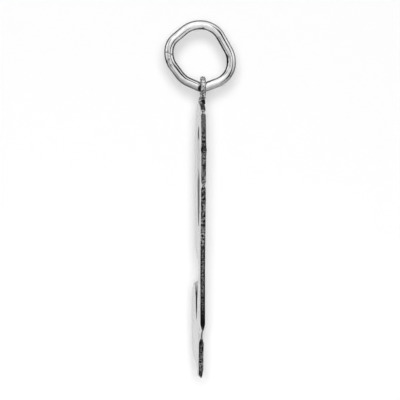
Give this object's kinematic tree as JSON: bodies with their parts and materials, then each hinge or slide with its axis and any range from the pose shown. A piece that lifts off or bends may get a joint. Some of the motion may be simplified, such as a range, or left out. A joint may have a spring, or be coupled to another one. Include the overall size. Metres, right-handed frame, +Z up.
{
  "type": "number charm",
  "caption": "Flat numeral nine pendant cut from silver plate, hung by a small soldered wire loop on a round wire jump ring bent slightly out of round.",
  "frame": {"origin": "middle of the jump ring, on the axis that a chain or a hook would run along", "axes": "+Z up as the charm hangs, +Y towards the numeral's back, +X towards the numeral's right when its face is seen"},
  "size_m": [0.0165, 0.0076, 0.0376],
  "materials": {
    "polished_wire": "polished silver wire",
    "cast_wire": "grainy as-cast silver",
    "solder": "dull, darkened silver solder",
    "silver_plate": "polished silver faces with a dark, grainy sawn edge"
  },
  "bodies": {
    "ring": {"jump_ring": "polished_wire"},
    "charm": {"top_loop": "cast_wire", "solder_joint": "solder", "number_nine": "silver_plate"}
  },
  "joints": [
    {"name": "charm_swing", "type": "hinge", "parent": "ring", "child": "charm", "pos_m": [0, 0.0003, -0.0033], "axis": [0, 1, 0], "range_deg": [-105, 135]}
  ]
}
